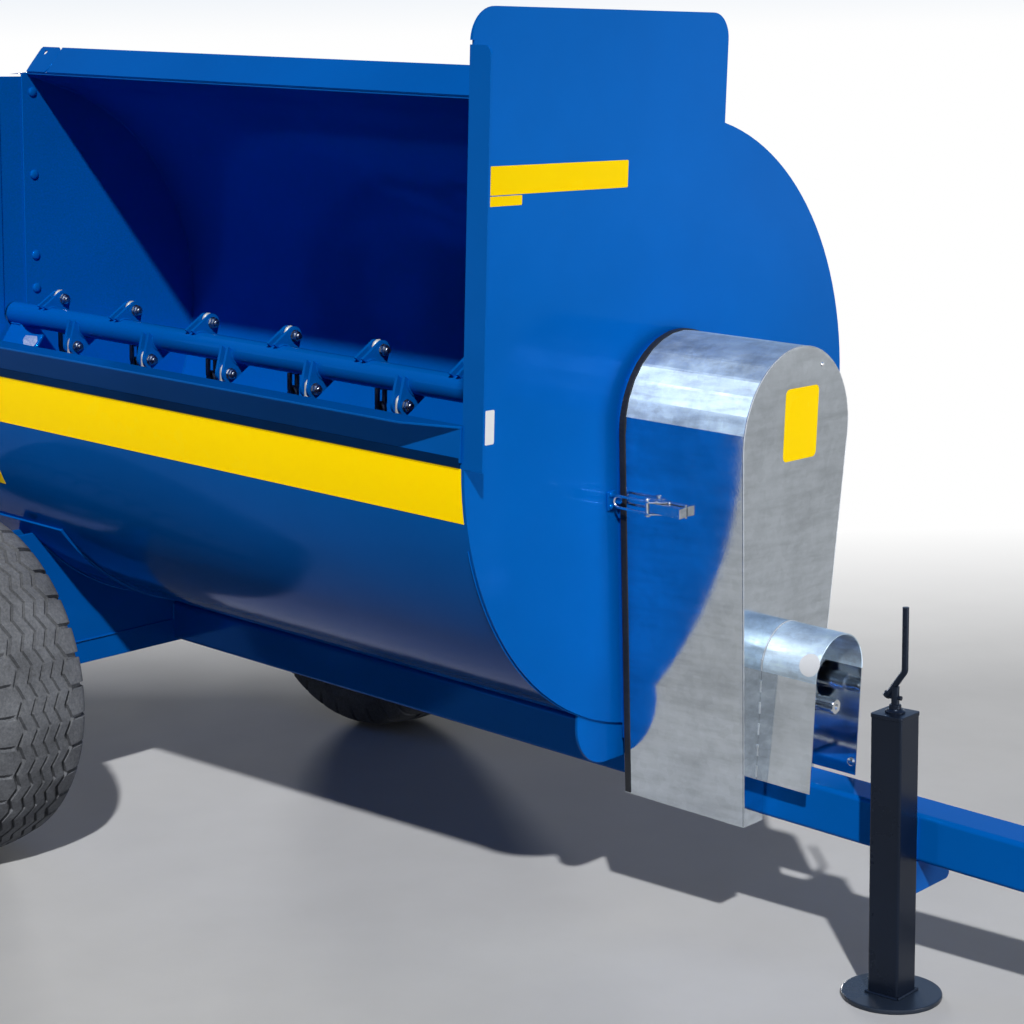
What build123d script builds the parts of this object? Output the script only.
"""Towed rotary manure spreader: an open steel drum with a chain-flail rotor, driven by a chain
from a power take-off shaft, on one central beam with an axle, a hitch eye and a screw jack.

Units are millimetres.  The row frame has +X towards the hitch, +Y to the left and +Z up, with the
ground at Z = 0.  The machine stands nose down on its jack, so its pieces are drawn in the machine
frame: x forward from the drum's front plate, y left and z up from the rotor's axis.
"""

import os
from math import acos, atan2, cos, degrees, hypot, pi, radians, sin

from build123d import *

os.makedirs("parts", exist_ok=True)

# ------------------------------------------------------------------ driving sizes
nose_down = 3.16           # degrees that the beam falls towards the hitch when parked
run_fit = 0.05             # radial clearance of every turning shaft in its bore
seat_gap = 0.3             # clearance between seated pieces that move apart
body_gap = 5.5             # clearance between pieces that pass each other

drum_radius = 650          # outside of the rolled shell
drum_wall = 5
drum_length = 2298         # between the end plates' inner faces
end_plate = 6              # thickness of both end plates
mouth_low = 173.7          # degrees from the left side where the shell ends at the discharge lip
mouth_high = 85.2          # degrees from the left side where the shell ends at the top
mouth_flat = 73.5          # degrees where the roll ends and the shell runs straight to its edge

shield_top = 860           # top of the front plate above the rotor
shield_left = 150          # left edge of the front plate's raised part
shield_corner_right = 66
shield_corner_left = 54
fold_depth = 47            # forward fold on the shield's right edge
fold_bottom = -12
fold_top = 789
fold_relief = 8            # height of the cut over the fold
fold_corner = 18
rear_top = 657             # top of the rear plate's squared corner
rear_left = 60
slot_margin = 57           # how far the slot cover laps the rear plate

lip_reach = 56             # how far the lip stands out of the shell
lip_sheet = 5
lip_drop = 72              # height of the lip's upright leg
lip_taper = 130            # length over which the lip runs in to the front plate
rail_reach = 88            # slant width of the flange along the drum's top edge
rail_slope = 49.3          # degrees
rail_sheet = 5

beam_side = 100            # square chassis beam, which is also the drawbar
beam_wall = 8
beam_corner = 10
beam_z = -736              # the beam's centre line
beam_front = 1150
beam_rear = -1790

axle_x = -1607
axle_z = -764
axle_side = 60
track = 1520               # between the wheels' centre planes
spindle_radius = 22.5
tyre_radius = 425          # 11.5/80-15.3 implement tyre
tyre_width = 290
tread_width = 236
crown_drop = 10.6          # the tread's edge below its crown
shoulder_drop = 29.8       # the shoulder below the crown
shoulder_out = 12          # the shoulder outside the tread's edge
bulge_drop = 112.6         # the tyre's widest place below the crown
bead_rise = 6              # the tyre's bead above the rim's flange
rim_seat = 194.5           # bead seat radius of a 15.3 inch rim
rim_width = 229
rim_sheet = 6
rim_flange = 17
rim_well = 26
rim_seat_edge = 82.4       # half the width between the bead seats
rim_well_half = 57.3       # half the width of the well
rim_fold = 4.6             # how much further out the rim's inside bends
wheel_disc = 8
wheel_dish = 20            # how far the wheel's disc is dished
hub_radius = 48
hub_length = 118
hub_flange = 92
hub_flange_sheet = 14

saddle_sheet = 8
saddle_half = 546          # half width of the axle saddle
saddle_top = -430
wrap_sheet = 6
wrap_start = -143          # degrees from the left side
wrap_half = 177            # half length of the wrapper along the drum
front_saddle_half = 273
front_saddle_bottom = -716
front_saddle_corner = 98

rotor_radius = 32.5
shaft_radius = 25
flail_phase = 54           # degrees from the left side of the first row of flails
flail_pitch = 154.5
flail_first = -2152
flail_count = 14
lug_sheet = 8
lug_gap = 15
lug_reach = 66             # from the rotor's axis to the flail's bolt
lug_tip = 23
lug_foot = 46              # half width of a lug beside the tube
lug_root = 12              # how far from the rotor's axis a lug's sides start
bolt_radius = 8
bolt_head = 12             # half the width across the flats
bolt_head_height = 10
bolt_nut_height = 15
bolt_tail = 20             # how far the bolt stands out of its lugs at the nut
link_sheet = 13            # a chain link's thickness
chain_width = 38
link_drop = 72             # how far below its bolt a chain starts to hang straight
chain_clear = 71.6         # height of a hanging chain's end above the drum's floor
chain_swing = 20           # how far the first row's chains fall outside their bolts
scraper_sheet = 8
scraper_neck = 40
scraper_wide = 50          # how far out from the axis the paddle's broad part starts
scraper_reach = 190

input_z = -528             # the input shaft below the rotor
input_end = 455            # front end of the input shaft
input_radius = 17.45       # 1 3/8 inch power take-off end
input_stub = 76            # length of the power take-off end
input_relief = 4           # width of the undercut behind it
input_relief_radius = 15
input_body = 20            # radius of the shaft in its bearings
sprocket_x = 115
sprocket_sheet = 15.5
chain_pitch = 25.4
roller_radius = 8.2
driven_teeth = 38
driver_teeth = 15
driven_boss = 44
driver_boss = 32
boss_length = 34
chain_plate = 5
chain_height = 21
stand_x = 236              # support of the input shaft's front bearing

cover_radius = 187
cover_rise = 18            # the arch's centre above the rotor
cover_front = 325
cover_bottom = -794
cover_foot = 122           # half width of the cover at its bottom
cover_sheet = 3
cover_hole = 45
seal_depth = 17
seal_bite = 8              # how far the seal's groove takes in the cover's edge
seal_lip = 2.5

guard_front = 458
guard_half = 86.5
guard_top = -372
guard_bottom = -696
guard_sheet = 3

latch_z = -136
latch_lift = 20            # the bail's height over the cover's wall
latch_wire = 3
latch_plate = (130, 112, 34, 3)   # place, length, width and height of each of its parts
latch_lever = (134, 100, 18, 25)
latch_pivot = (94, 14, 34, 23)
bail_start = 90            # place of the bail's ends
bail_end = 9
bail_half = 13
keeper_reach = 22
keeper_width = 12

jack_ahead = 621           # level distance from the rotor's front to the jack
jack_side = 70
jack_wall = 5
jack_corner = 6
jack_height = 589          # top of the cap above the ground
jack_cap_sheet = 8
jack_cap_lap = 1.5         # how far the cap stands out of the tube
screw_radius = 12
screw_height = 16
crank_post = 8             # radius of the post that carries the crank
crank_post_height = 36
crank_start = (-16, 34)    # points of the crank beside and above the cap
crank_knee = (21, 86)
crank_end = (21, 214)
crank_bend = 14
pad_sheet = 4.7            # guide pad between the beam and the jack
bracket_sheet = 8          # plate across the beam in front of the jack
bracket_x = 686
bracket_left = 85
bracket_bottom = -856
bracket_corner = 12
bracket_hole = (60, -826)
bracket_hole_radius = 5
foot_radius = 101
foot_sheet = 10
crank_radius = 6.5

eye_x = 1285               # centre of the hitch eye
eye_flange = 10            # how far the eye's flange stands out round the beam
eye_flange_sheet = 15
eye_shank = 72             # width of the sheet that carries the eye
eye_bore = 25
eye_ring = 56
eye_sheet = 30

# ------------------------------------------------------------------ the machine's frame
lean = radians(nose_down)
forward = Vector(cos(lean), 0, -sin(lean))
left = Vector(0, 1, 0)
up = Vector(sin(lean), 0, cos(lean))

drum_front = -end_plate
drum_rear = -end_plate - drum_length
rear_outside = drum_rear - end_plate
bearing_length = 46
input_bearing_length = 36
bearing_flange = 14
shaft_rear = rear_outside - end_plate - bearing_length - 8

origin_z = tyre_radius + axle_x * sin(lean) - axle_z * cos(lean)
reach_front = (eye_x + eye_ring) * cos(lean) + (beam_z + eye_sheet / 2) * sin(lean)
reach_rear = shaft_rear * cos(lean) - shaft_radius * sin(lean)
origin = Vector(-(reach_front + reach_rear) / 2, 0, origin_z)


def at(x, y, z):
    """Row-frame point of a machine-frame point."""
    return origin + forward * x + left * y + up * z


def across(x, y=0, z=0):
    """Section plane: local x is to the left, local y is up and the normal is forward."""
    return Plane(at(x, y, z), x_dir=left, z_dir=forward)


def along(y, x=0, z=0):
    """Side plane: local x is forward, local y is up and the normal is to the right."""
    return Plane(at(x, y, z), x_dir=forward, z_dir=-left)


def flat(z, x=0, y=0):
    """Floor plane: local x is forward, local y is to the left and the normal is up."""
    return Plane(at(x, y, z), x_dir=forward, z_dir=up)


def level(height, ahead=0, y=0):
    """Level plane above the ground, with its origin a level distance ahead of the rotor's front."""
    return Plane((origin.X + ahead, y, height), x_dir=(1, 0, 0), z_dir=(0, 0, 1))


def outward(angle):
    """Unit vector away from the rotor's axis, at an angle in degrees from the left side."""
    return left * cos(radians(angle)) + up * sin(radians(angle))


def polar(radius, angle):
    """Point of a section plane at an angle in degrees from the left side."""
    return (radius * cos(radians(angle)), radius * sin(radians(angle)))


def tangent_angle(centre_x, radius, x, y):
    """Angle on a circle centred at (centre_x, 0) where the tangent from (x, y) touches it."""
    distance = hypot(x - centre_x, y)
    return atan2(y, x - centre_x), acos(radius / distance)


def save(piece, name):
    """Label a finished piece and write it."""
    piece.part.label = name
    export_step(piece.part, f"parts/{name}.step")


drum_inside = drum_radius - drum_wall
mouth_sweep = 360 - mouth_low + mouth_flat
mouth_out = drum_radius / cos(radians(mouth_high - mouth_flat))
mouth_in = mouth_out * drum_inside / drum_radius
beam_half = beam_side / 2
beam_top = beam_z + beam_half
beam_bottom = beam_z - beam_half
axle_half = axle_side / 2
axle_top = axle_z + axle_half
slot_half = rotor_radius + body_gap

# ------------------------------------------------------------------ chassis
hub_inner = track / 2 - 70
spindle_end = track / 2 + 42

with BuildPart() as chassis_beam:
    with BuildSketch(across(beam_rear, 0, beam_z)):
        RectangleRounded(beam_side, beam_side, beam_corner)
        RectangleRounded(beam_side - 2 * beam_wall, beam_side - 2 * beam_wall,
                         beam_corner - beam_wall / 2, mode=Mode.SUBTRACT)
    extrude(amount=beam_front - beam_rear)
    with BuildSketch(along(0, axle_x, axle_z)):
        Rectangle(axle_side, axle_side)
    extrude(amount=beam_side, both=True, mode=Mode.SUBTRACT)
    with BuildSketch(across(beam_rear, 0, beam_z)):
        RectangleRounded(beam_side, beam_side, beam_corner)
    extrude(amount=-beam_wall)
save(chassis_beam, "chassis_beam")

with BuildPart() as axle_beam:
    with BuildSketch(along(0, axle_x, axle_z)):
        Rectangle(axle_side, axle_side)
    extrude(amount=hub_inner - body_gap, both=True)
    with BuildSketch(along(0, axle_x, axle_z)):
        Circle(spindle_radius)
    extrude(amount=spindle_end, both=True)
save(axle_beam, "axle_beam")

with BuildPart() as hitch_eye:
    with BuildSketch(across(beam_front, 0, beam_z)):
        flange_side = beam_side + 2 * eye_flange
        RectangleRounded(flange_side, flange_side, beam_corner)
    extrude(amount=eye_flange_sheet)
    with BuildSketch(flat(beam_z - eye_sheet / 2)):
        with Locations(((beam_front + eye_x) / 2, 0)):
            Rectangle(eye_x - beam_front, eye_shank)
        with Locations((eye_x, 0)):
            Circle(eye_ring)
            Circle(eye_bore, mode=Mode.SUBTRACT)
    extrude(amount=eye_sheet)
save(hitch_eye, "hitch_eye")

# ------------------------------------------------------------------ saddles under the drum
with BuildPart() as axle_saddle:
    for plate_x in (axle_x - axle_half, axle_x + axle_half - saddle_sheet):
        with BuildSketch(across(plate_x)):
            with Locations((0, (saddle_top + axle_top) / 2)):
                Rectangle(2 * saddle_half, saddle_top - axle_top)
            Circle(drum_radius + wrap_sheet, mode=Mode.SUBTRACT)
            with Locations((0, beam_z)):
                Rectangle(beam_side, beam_side, mode=Mode.SUBTRACT)
        extrude(amount=saddle_sheet)
    with BuildSketch(across(axle_x - axle_half)):
        with Locations((-saddle_half + saddle_sheet / 2, (saddle_top + axle_top) / 2),
                       (saddle_half - saddle_sheet / 2, (saddle_top + axle_top) / 2)):
            Rectangle(saddle_sheet, saddle_top - axle_top)
    extrude(amount=axle_side)
save(axle_saddle, "axle_saddle")

with BuildPart() as drum_wrapper:
    with BuildSketch(across(axle_x - wrap_half)):
        with BuildLine():
            outer = CenterArc((0, 0), drum_radius + wrap_sheet, wrap_start, -180 - 2 * wrap_start)
            inner = CenterArc((0, 0), drum_radius, wrap_start, -180 - 2 * wrap_start)
            Line(outer @ 0, inner @ 0)
            Line(outer @ 1, inner @ 1)
        make_face()
    extrude(amount=2 * wrap_half)
save(drum_wrapper, "drum_wrapper")

with BuildPart() as front_saddle:
    with BuildSketch(across(drum_front)):
        with Locations((0, front_saddle_bottom / 2)):
            Rectangle(2 * front_saddle_half, -front_saddle_bottom)
        fillet(vertices().group_by(Axis.Y)[0], front_saddle_corner)
        Circle(drum_radius, mode=Mode.SUBTRACT)
        with Locations((0, beam_z)):
            Rectangle(beam_side, beam_side, mode=Mode.SUBTRACT)
    extrude(amount=-saddle_sheet)
save(front_saddle, "front_saddle")

# ------------------------------------------------------------------ drum
with BuildPart() as drum_shell:
    with BuildSketch(across(drum_rear)):
        with BuildLine():
            outer = CenterArc((0, 0), drum_radius, mouth_low, mouth_sweep)
            inner = CenterArc((0, 0), drum_inside, mouth_low, mouth_sweep)
            Line(outer @ 0, inner @ 0)
            Polyline(outer @ 1, polar(mouth_out, mouth_high), polar(mouth_in, mouth_high),
                     inner @ 1)
        make_face()
    extrude(amount=drum_length)
save(drum_shell, "drum_shell")

with BuildPart() as top_rail:
    with BuildSketch(across(drum_rear)):
        with BuildLine():
            root = polar(mouth_out, mouth_high)
            rise = Vector(*polar(rail_reach, rail_slope))
            face = Vector(*polar(rail_sheet, rail_slope + 90))
            Polyline(polar(mouth_in, mouth_high), root, Vector(*root) + rise,
                     Vector(*root) + rise + face, Vector(*root) + face, close=True)
        make_face()
    extrude(amount=drum_length)
save(top_rail, "top_rail")

with BuildPart() as discharge_lip:
    edge_out = polar(drum_radius, mouth_low)
    edge_in = polar(drum_inside, mouth_low)
    lip_top = edge_out[1] + 1
    leg = -drum_radius - seat_gap
    with BuildSketch(across(drum_rear)):
        with BuildLine():
            Polyline(edge_in, (edge_in[0], lip_top), (edge_out[0] - lip_reach, lip_top),
                     (edge_out[0] - lip_reach, lip_top - lip_sheet),
                     (leg - lip_sheet, lip_top - lip_sheet), (leg - lip_sheet, lip_top - lip_drop),
                     (leg, lip_top - lip_drop), (leg, lip_top - lip_sheet), edge_out, close=True)
        make_face()
    extrude(amount=drum_length)
    with BuildSketch(flat(0)):
        with BuildLine():
            Polyline((drum_front, leg - lip_sheet), (drum_front, -drum_radius - lip_reach),
                     (drum_front - lip_taper, -drum_radius - lip_reach), close=True)
        make_face()
    extrude(amount=2 * lip_drop, mode=Mode.SUBTRACT)
save(discharge_lip, "discharge_lip")

with BuildPart() as front_plate:
    with BuildSketch(across(0)):
        with Locations(((shield_left - drum_radius) / 2, shield_top / 2)):
            Rectangle(shield_left + drum_radius, shield_top)
        fillet(vertices().sort_by_distance((-drum_radius, shield_top))[0], shield_corner_right)
        fillet(vertices().sort_by_distance((shield_left, shield_top))[0], shield_corner_left)
        Circle(drum_radius)
        Circle(shaft_radius + body_gap, mode=Mode.SUBTRACT)
        with Locations((-drum_radius, fold_top + fold_relief / 2)):
            Rectangle(2 * end_plate, fold_relief, mode=Mode.SUBTRACT)
    extrude(amount=-end_plate)
    with BuildSketch(along(end_plate - drum_radius)):
        with Locations(((fold_depth - end_plate) / 2, (fold_top + fold_bottom) / 2)):
            Rectangle(fold_depth + end_plate, fold_top - fold_bottom)
        fillet(vertices().sort_by_distance((fold_depth, fold_top))[0], fold_corner)
    extrude(amount=end_plate)
save(front_plate, "front_plate")

with BuildPart() as rear_plate:
    with BuildSketch(across(drum_rear)):
        with Locations(((rear_left - drum_radius) / 2, rear_top / 2)):
            Rectangle(rear_left + drum_radius, rear_top)
        fillet(vertices().sort_by_distance((-drum_radius, rear_top))[0], shield_corner_right)
        Circle(drum_radius)
        Polygon((0, 0), polar(drum_radius, mouth_flat), polar(mouth_out, mouth_high),
                (0, rear_top), align=None)
        Circle(slot_half, mode=Mode.SUBTRACT)
        with Locations((0, rear_top / 2)):
            Rectangle(2 * slot_half, rear_top, mode=Mode.SUBTRACT)
    extrude(amount=-end_plate)
save(rear_plate, "rear_plate")

slot_cover_half = slot_half + slot_margin
with BuildPart() as slot_cover:
    with BuildSketch(across(rear_outside)):
        with Locations((0, (drum_radius - slot_cover_half) / 2)):
            Rectangle(2 * slot_cover_half, drum_radius + slot_cover_half)
        Circle(shaft_radius + body_gap, mode=Mode.SUBTRACT)
    extrude(amount=-end_plate)
save(slot_cover, "slot_cover")


def flange_bearing(plane, bore, half, length):
    """Four-bolt flange bearing that stands on a plane."""
    with BuildPart() as bearing:
        with BuildSketch(plane):
            RectangleRounded(2 * half, 2 * half, half / 3)
            Circle(bore, mode=Mode.SUBTRACT)
        extrude(amount=bearing_flange)
        with BuildSketch(plane):
            Circle(0.72 * half)
            Circle(bore, mode=Mode.SUBTRACT)
        extrude(amount=length)
    return bearing


rotor_bearing_half = 66
input_bearing_half = 52
rear_mount = Plane(at(rear_outside - end_plate, 0, 0), x_dir=left, z_dir=-forward)
front_bearing = flange_bearing(across(0), shaft_radius + run_fit, rotor_bearing_half,
                               bearing_length)
rear_bearing = flange_bearing(rear_mount, shaft_radius + run_fit, rotor_bearing_half,
                              bearing_length)
save(front_bearing, "front_bearing")
save(rear_bearing, "rear_bearing")

# ------------------------------------------------------------------ rotor
shaft_front = sprocket_x + 37
with BuildPart() as rotor_tube:
    with BuildSketch(across(rear_outside + body_gap)):
        Circle(rotor_radius)
    extrude(amount=drum_front - rear_outside - 2 * body_gap)
    with BuildSketch(across(shaft_rear)):
        Circle(shaft_radius)
    extrude(amount=shaft_front - shaft_rear)
save(rotor_tube, "rotor_tube")

# flail stations along the rotor: place and direction of each, the two rows alternating
stations = [(flail_first + index * flail_pitch, flail_phase + 180 * (index % 2))
            for index in range(flail_count)]
to_root, half_wrap = tangent_angle(lug_reach, lug_tip, lug_root, lug_foot)
lug_touch = to_root - half_wrap
lug_side = (lug_reach + lug_tip * cos(lug_touch), lug_tip * sin(lug_touch))

with BuildPart() as flail_lugs:
    for station_x, phase in stations:
        for start in (-lug_gap / 2 - lug_sheet, lug_gap / 2):
            lug_plane = Plane(at(station_x + start, 0, 0), x_dir=outward(phase), z_dir=forward)
            with BuildSketch(lug_plane):
                with BuildLine():
                    Polyline((lug_root, -lug_foot), (lug_side[0], -lug_side[1]), lug_side,
                             (lug_root, lug_foot), close=True)
                make_face()
                with Locations((lug_reach, 0)):
                    Circle(lug_tip)
                    Circle(bolt_radius, mode=Mode.SUBTRACT)
                Circle(rotor_radius, mode=Mode.SUBTRACT)
            extrude(amount=lug_sheet)
save(flail_lugs, "flail_lugs")

bolt_grip = lug_gap / 2 + lug_sheet
with BuildPart() as flail_bolts:
    for station_x, phase in stations:
        bolt_plane = Plane(at(station_x, 0, 0), x_dir=outward(phase), z_dir=forward)
        with BuildSketch(bolt_plane):
            with Locations((lug_reach, 0)):
                Circle(bolt_radius)
        extrude(amount=bolt_grip + bolt_tail)
        with BuildSketch(bolt_plane):
            with Locations((lug_reach, 0)):
                Circle(bolt_radius)
        extrude(amount=-bolt_grip)
        with BuildSketch(bolt_plane.offset(bolt_grip)):
            with Locations((lug_reach, 0)):
                RegularPolygon(bolt_head, 6, major_radius=False)
        extrude(amount=bolt_nut_height)
        with BuildSketch(bolt_plane.offset(-bolt_grip)):
            with Locations((lug_reach, 0)):
                RegularPolygon(bolt_head, 6, major_radius=False)
        extrude(amount=-bolt_head_height)
save(flail_bolts, "flail_bolts")

chain_drop = drum_inside - chain_clear - link_drop - polar(lug_reach, flail_phase)[1]
link_width = chain_width - 2
with BuildPart() as flail_chains:
    for station_x, phase in stations:
        bolt_y, bolt_z = polar(lug_reach, phase)
        swing = chain_swing if phase == flail_phase else 0
        hang_y = bolt_y + swing
        hang_z = bolt_z - link_drop
        with BuildSketch(across(station_x - link_sheet / 2)):
            with Locations(((bolt_y + hang_y) / 2, (bolt_z + hang_z) / 2)):
                SlotCenterToCenter(hypot(hang_y - bolt_y, hang_z - bolt_z), link_width,
                                   rotation=degrees(atan2(hang_z - bolt_z, hang_y - bolt_y)))
            with Locations((bolt_y, bolt_z)):
                Circle(bolt_radius, mode=Mode.SUBTRACT)
        extrude(amount=link_sheet)
        hang = at(station_x, hang_y, hang_z)
        with BuildSketch(Plane(hang, x_dir=(1, 0, 0), z_dir=(0, 0, -1))):
            RectangleRounded(link_sheet, chain_width, link_sheet / 3)
        extrude(amount=chain_drop)
save(flail_chains, "flail_chains")

# paddles that sweep the end plates clean: the edge beside the plate, the way they widen, width
scrapers = ((drum_rear + 2 * body_gap, 1, 153), (drum_front - 2 * body_gap, -1, 80))
with BuildPart() as end_scrapers:
    for edge_x, toward, width in scrapers:
        run = forward * toward
        side = Plane(at(edge_x, 0, 0), x_dir=run, z_dir=run.cross(outward(flail_phase + 180)))
        with BuildSketch(side):
            with BuildLine():
                Polyline((scraper_neck, 0), (0, 0), (0, scraper_reach), (width, scraper_reach),
                         (width, scraper_wide))
                ThreePointArc((width, scraper_wide),
                              (scraper_neck + 0.3 * (width - scraper_neck), scraper_wide - 4),
                              (scraper_neck, rotor_radius - 4))
                Line((scraper_neck, rotor_radius - 4), (scraper_neck, 0))
            make_face()
        extrude(amount=scraper_sheet / 2, both=True)
    with BuildSketch(across(drum_rear)):
        Circle(rotor_radius)
    extrude(amount=drum_length, mode=Mode.SUBTRACT)
save(end_scrapers, "end_scrapers")


def pitch_radius(teeth):
    """Pitch radius of a sprocket for the drive chain."""
    return chain_pitch / (2 * sin(pi / teeth))


def sprocket(centre_z, teeth, bore, hub):
    """Roller-chain sprocket with a boss towards the hitch."""
    with BuildPart() as wheel:
        with BuildSketch(across(sprocket_x - sprocket_sheet / 2, 0, centre_z)):
            Circle(pitch_radius(teeth) + 6)
            with PolarLocations(pitch_radius(teeth), teeth):
                Circle(roller_radius, mode=Mode.SUBTRACT)
            Circle(bore, mode=Mode.SUBTRACT)
        extrude(amount=sprocket_sheet)
        with BuildSketch(across(sprocket_x, 0, centre_z)):
            Circle(hub)
            Circle(bore, mode=Mode.SUBTRACT)
        extrude(amount=boss_length)
    return wheel


rotor_sprocket = sprocket(0, driven_teeth, shaft_radius, driven_boss)
save(rotor_sprocket, "rotor_sprocket")

# ------------------------------------------------------------------ input drive
with BuildPart() as input_shaft:
    shaft_steps = ((body_gap, input_body),
                   (input_end - input_stub - input_relief, input_relief_radius),
                   (input_end - input_stub, input_radius), (input_end, 0))
    for (start, radius), (end, _) in zip(shaft_steps, shaft_steps[1:]):
        with BuildSketch(across(start, 0, input_z)):
            Circle(radius)
        extrude(amount=end - start)
save(input_shaft, "input_shaft")

input_sprocket = sprocket(input_z, driver_teeth, input_body, driver_boss)
save(input_sprocket, "input_sprocket")

stand_sheet = 10
with BuildPart() as input_stand:
    with BuildSketch(across(stand_x)):
        with Locations((0, (beam_top + input_z) / 2)):
            Rectangle(2 * input_bearing_half - 10, input_z - beam_top)
        with Locations((0, input_z)):
            Circle(input_bearing_half - 5)
            Circle(input_body + body_gap, mode=Mode.SUBTRACT)
    extrude(amount=stand_sheet)
save(input_stand, "input_stand")

input_bearing_rear = flange_bearing(across(0, 0, input_z), input_body + run_fit,
                                    input_bearing_half, input_bearing_length)
input_bearing_front = flange_bearing(across(stand_x + stand_sheet, 0, input_z),
                                     input_body + run_fit, input_bearing_half,
                                     input_bearing_length)
save(input_bearing_rear, "input_bearing_rear")
save(input_bearing_front, "input_bearing_front")


def belt(outset, mode=Mode.ADD):
    """Closed belt line round both sprockets, at a distance outside the pitch line."""
    driven = pitch_radius(driven_teeth) + outset
    driver = pitch_radius(driver_teeth) + outset
    Circle(driven, mode=mode)
    with Locations((0, input_z)):
        Circle(driver, mode=mode)
    corners = []
    for radius, centre_z, side in ((driven, 0, 1), (driver, input_z, 1),
                                   (driver, input_z, -1), (driven, 0, -1)):
        y, z = polar(radius, -90 + side * run_turn)
        corners.append((y, z + centre_z))
    Polygon(*corners, align=None, mode=mode)


# angle from straight down to where the chain leaves each sprocket
run_turn = degrees(acos((pitch_radius(driven_teeth) - pitch_radius(driver_teeth)) / -input_z))
chain_inside = sprocket_sheet / 2 + 0.5
with BuildPart() as drive_chain:
    for start in (sprocket_x - chain_inside - chain_plate, sprocket_x + chain_inside):
        with BuildSketch(across(start)):
            belt(chain_height / 2)
            belt(-chain_height / 2, Mode.SUBTRACT)
        extrude(amount=chain_plate)
save(drive_chain, "drive_chain")

idler_radius = 18
idler_z = -300
run_top = polar(pitch_radius(driven_teeth), -90 - run_turn)
run_low = polar(pitch_radius(driver_teeth), -90 - run_turn)
run_slope = (run_low[0] - run_top[0]) / (run_low[1] + input_z - run_top[1])
run_y = run_top[0] + run_slope * (idler_z - run_top[1])
idler_y = run_y - (chain_height / 2 + idler_radius + seat_gap) * hypot(1, run_slope)
with BuildPart() as chain_tensioner:
    with BuildSketch(across(sprocket_x - chain_inside - chain_plate, idler_y, idler_z)):
        Circle(idler_radius)
    extrude(amount=2 * (chain_inside + chain_plate))
    with BuildSketch(across(0, idler_y, idler_z)):
        Circle(8)
    extrude(amount=sprocket_x)
    with BuildSketch(across(0, idler_y, idler_z)):
        RectangleRounded(30, 70, 8)
    extrude(amount=8)
save(chain_tensioner, "chain_tensioner")

# ------------------------------------------------------------------ drive cover
to_foot, half_arch = tangent_angle(0, cover_radius, cover_foot, cover_bottom - cover_rise)
wall_turn = to_foot + half_arch            # direction of the side wall's normal


def tapered_arch(inset, mode=Mode.ADD):
    """Cover outline, moved inside by a distance; its bottom stays where it is."""
    radius = cover_radius - inset
    foot = cover_foot - inset / cos(wall_turn)
    touch_y, touch_z = radius * cos(wall_turn), cover_rise + radius * sin(wall_turn)
    with Locations((0, cover_rise)):
        Circle(radius, mode=mode)
    Polygon((touch_y, touch_z), (foot, cover_bottom), (-foot, cover_bottom),
            (-touch_y, touch_z), align=None, mode=mode)


notch_half = beam_half + body_gap
notch_top = beam_top + body_gap
cover_rear = seat_gap + seal_depth - seal_bite
with BuildPart() as drive_cover:
    with BuildSketch(across(cover_rear)):
        tapered_arch(0)
        tapered_arch(cover_sheet, Mode.SUBTRACT)
    extrude(amount=cover_front - cover_sheet - cover_rear)
save(drive_cover, "drive_cover")

with BuildPart() as cover_face:
    with BuildSketch(across(cover_front - cover_sheet)):
        tapered_arch(0)
        with Locations((0, (cover_bottom + notch_top) / 2)):
            Rectangle(2 * notch_half, notch_top - cover_bottom, mode=Mode.SUBTRACT)
        with Locations((0, input_z)):
            Circle(cover_hole, mode=Mode.SUBTRACT)
    extrude(amount=cover_sheet)
save(cover_face, "cover_face")

with BuildPart() as cover_seal:
    with BuildSketch(across(seat_gap)):
        tapered_arch(-seal_lip)
        tapered_arch(cover_sheet + seal_lip, Mode.SUBTRACT)
    extrude(amount=seal_depth)
    with BuildSketch(across(cover_rear)):
        tapered_arch(0)
        tapered_arch(cover_sheet, Mode.SUBTRACT)
    extrude(amount=seal_depth, mode=Mode.SUBTRACT)
save(cover_seal, "cover_seal")

guard_arc_z = guard_top - guard_half
with BuildPart() as pto_guard:
    with BuildSketch(across(cover_front)):
        for inset, mode in ((0, Mode.ADD), (guard_sheet, Mode.SUBTRACT)):
            with Locations((0, guard_arc_z)):
                Circle(guard_half - inset, mode=mode)
            with Locations((0, (guard_arc_z + guard_bottom) / 2)):
                Rectangle(2 * (guard_half - inset), guard_arc_z - guard_bottom, mode=mode)
    extrude(amount=guard_front - cover_front)
save(pto_guard, "pto_guard")

wall_y = cover_radius * cos(wall_turn) + (latch_z - cover_rise - cover_radius * sin(wall_turn)) * (
    -sin(wall_turn) / cos(wall_turn))


def wall_plane(side, lift=0):
    """Plane on the cover's side wall at the latch: local x is forward, normal away from it."""
    normal = left * side * cos(wall_turn) + up * sin(wall_turn)
    return Plane(at(0, side * wall_y, latch_z) + normal * lift, x_dir=forward, z_dir=normal)


with BuildPart() as cover_latch:
    for side in (-1, 1):
        for place, length, width, height in (latch_plate, latch_lever, latch_pivot):
            with BuildSketch(wall_plane(side)):
                with Locations((place, 0)):
                    RectangleRounded(length, width, latch_wire)
            extrude(amount=height)
        bail_plane = wall_plane(side, latch_lift)
        with BuildLine(bail_plane):
            FilletPolyline((bail_start, -bail_half), (bail_end, -bail_half),
                           (bail_end, bail_half), (bail_start, bail_half),
                           radius=bail_half - 0.5)
        wire_start = Plane(bail_plane.from_local_coords((bail_start, -bail_half, 0)),
                           z_dir=-forward)
        with BuildSketch(wire_start):
            Circle(latch_wire)
        sweep()
save(cover_latch, "cover_latch")

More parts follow.
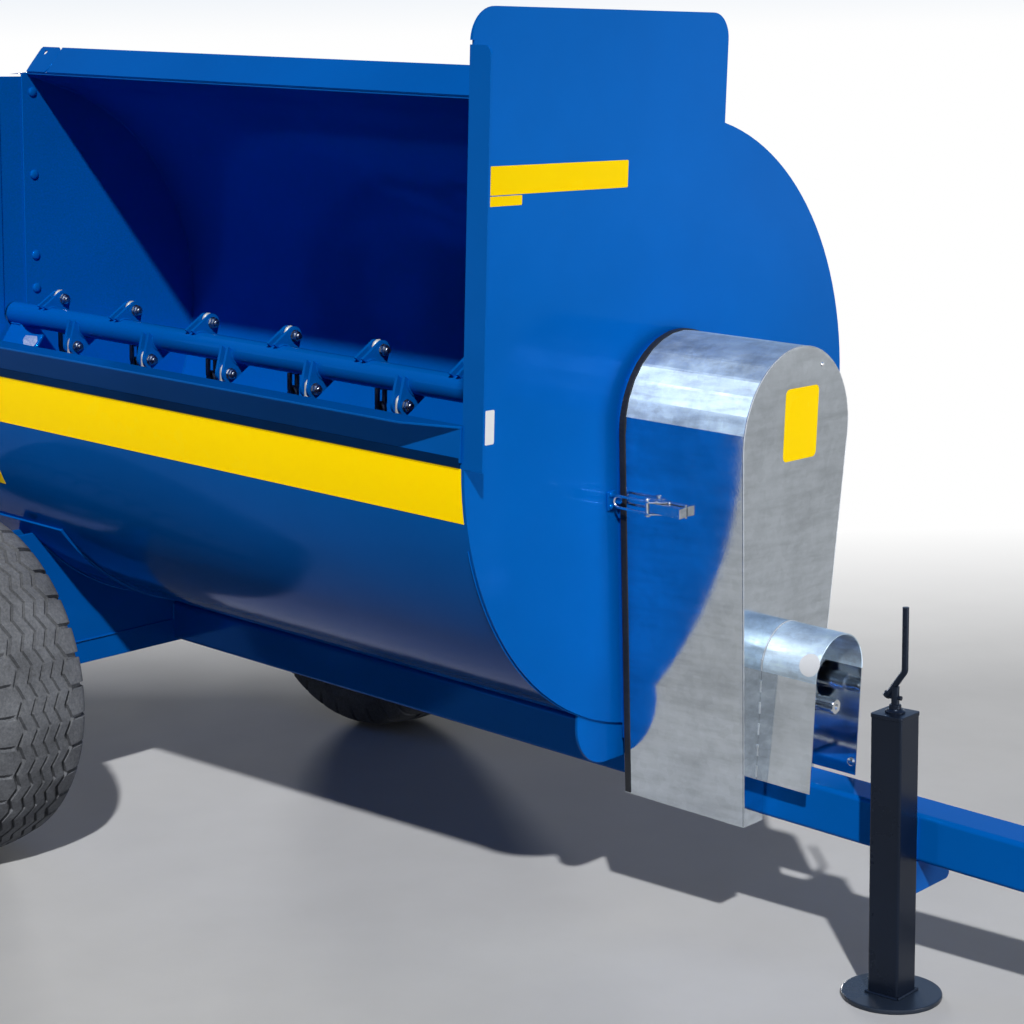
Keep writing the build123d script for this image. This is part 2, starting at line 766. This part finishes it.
with BuildPart() as latch_keepers:
    for side in (-1, 1):
        tab_inner = seal_lip + body_gap
        with BuildSketch(wall_plane(side, tab_inner)):
            with Locations((keeper_reach / 2, 0)):
                Rectangle(keeper_reach, keeper_width)
        extrude(amount=latch_lift - latch_wire - seat_gap - tab_inner)
save(latch_keepers, "latch_keepers")

# ------------------------------------------------------------------ wheels
def wheel_plane(side):
    """Half section through a wheel: local x is the radius, local y is away from the machine."""
    return Plane(at(axle_x, side * track / 2, axle_z), x_dir=forward, z_dir=up * side)


def mirrored(points):
    """The same points on the other side of the wheel's middle, in the opposite order."""
    return [(radius, -out) for radius, out in reversed(points)]


wheel_axis = Axis(at(axle_x, 0, axle_z), left)
rim_under = rim_seat - rim_well - rim_sheet
half = tyre_width / 2
tread = tread_width / 2
bead = rim_width / 2

for side, name in ((1, "left"), (-1, "right")):
    with BuildPart() as tyre:
        with BuildSketch(wheel_plane(side)):
            with BuildLine():
                for hand in (-1, 1):
                    bead_top = (rim_seat + rim_flange + bead_rise, hand * bead)
                    shoulder = (tyre_radius - shoulder_drop, hand * (tread + shoulder_out))
                    Polyline((rim_seat, 0), (rim_seat, hand * bead), bead_top)
                    ThreePointArc(bead_top, (tyre_radius - bulge_drop, hand * half), shoulder)
                    Line(shoulder, (tyre_radius - crown_drop, hand * tread))
                ThreePointArc((tyre_radius - crown_drop, -tread), (tyre_radius, 0),
                              (tyre_radius - crown_drop, tread))
            make_face()
        revolve(axis=wheel_axis)
    save(tyre, f"tyre_{name}")

    with BuildPart() as rim:
        with BuildSketch(wheel_plane(side)):
            with BuildLine():
                upper = [(rim_seat + rim_flange, bead + rim_sheet),
                         (rim_seat + rim_flange, bead), (rim_seat, bead),
                         (rim_seat, rim_seat_edge), (rim_seat - rim_well, rim_well_half)]
                lower = [(rim_under, rim_well_half + rim_fold),
                         (rim_seat - rim_sheet, rim_seat_edge + rim_fold),
                         (rim_seat - rim_sheet, bead + rim_sheet)]
                Polyline(*upper, *mirrored(upper), *mirrored(lower), *lower, close=True)
            make_face()
            with BuildLine():
                Polyline((rim_under, wheel_dish), (hub_radius, 0), (hub_radius, wheel_disc),
                         (rim_under, wheel_dish + wheel_disc), close=True)
            make_face()
        revolve(axis=wheel_axis)
    save(rim, f"rim_{name}")

    with BuildPart() as hub:
        with BuildSketch(wheel_plane(side)):
            with BuildLine():
                start = hub_inner - track / 2
                Polyline((spindle_radius + run_fit, start), (hub_radius, start),
                         (hub_radius, -hub_flange_sheet), (hub_flange, -hub_flange_sheet),
                         (hub_flange, 0), (hub_radius, 0), (hub_radius, start + hub_length),
                         (0, start + hub_length), (0, start + hub_length - 6),
                         (spindle_radius + run_fit, start + hub_length - 6), close=True)
            make_face()
        revolve(axis=wheel_axis)
    save(hub, f"hub_{name}")

# ------------------------------------------------------------------ jack
jack_y = -(beam_half + pad_sheet + seat_gap + jack_side / 2)
tube_top = jack_height - jack_cap_sheet

with BuildPart() as jack_tube:
    with BuildSketch(level(foot_sheet, jack_ahead, jack_y)):
        RectangleRounded(jack_side, jack_side, jack_corner)
        RectangleRounded(jack_side - 2 * jack_wall, jack_side - 2 * jack_wall,
                         jack_corner - jack_wall / 2, mode=Mode.SUBTRACT)
    extrude(amount=tube_top - foot_sheet)
save(jack_tube, "jack_tube")

with BuildPart() as jack_cap:
    with BuildSketch(level(tube_top, jack_ahead, jack_y)):
        RectangleRounded(jack_side + 2 * jack_cap_lap, jack_side + 2 * jack_cap_lap,
                         jack_corner + jack_cap_lap)
    extrude(amount=jack_cap_sheet)
    with BuildSketch(level(jack_height, jack_ahead, jack_y)):
        Circle(screw_radius)
    extrude(amount=screw_height)
save(jack_cap, "jack_cap")

with BuildPart() as jack_foot:
    with BuildSketch(level(0, jack_ahead, jack_y)):
        Circle(foot_radius)
    extrude(amount=foot_sheet)
save(jack_foot, "jack_foot")

crank_side = Plane((origin.X + jack_ahead, jack_y, jack_height), x_dir=(1, 0, 0), z_dir=(0, -1, 0))
with BuildPart() as jack_crank:
    with BuildSketch(level(jack_height + screw_height, jack_ahead, jack_y)):
        Circle(crank_post)
    extrude(amount=crank_post_height)
    with BuildLine(crank_side):
        FilletPolyline(crank_start, crank_knee, crank_end, radius=crank_bend)
    crank_run = Vector(crank_knee[0] - crank_start[0], 0, crank_knee[1] - crank_start[1])
    with BuildSketch(Plane(crank_side.from_local_coords((*crank_start, 0)), z_dir=crank_run)):
        Circle(crank_radius)
    sweep()
save(jack_crank, "jack_crank")

jack_at_beam = (jack_ahead - beam_z * sin(lean)) / cos(lean)
with BuildPart() as jack_bracket:
    with BuildSketch(along(-beam_half, jack_at_beam, beam_z)):
        Rectangle(jack_side - 4, beam_side - 8)
    extrude(amount=pad_sheet)
    with BuildSketch(across(bracket_x)):
        with Locations(((bracket_left - beam_half - pad_sheet) / 2,
                        (beam_bottom + bracket_bottom) / 2)):
            Rectangle(bracket_left + beam_half + pad_sheet, beam_bottom - bracket_bottom)
        fillet(vertices().sort_by_distance((bracket_left, bracket_bottom))[0], bracket_corner)
        with Locations(bracket_hole):
            Circle(bracket_hole_radius, mode=Mode.SUBTRACT)
    extrude(amount=bracket_sheet)
save(jack_bracket, "jack_bracket")
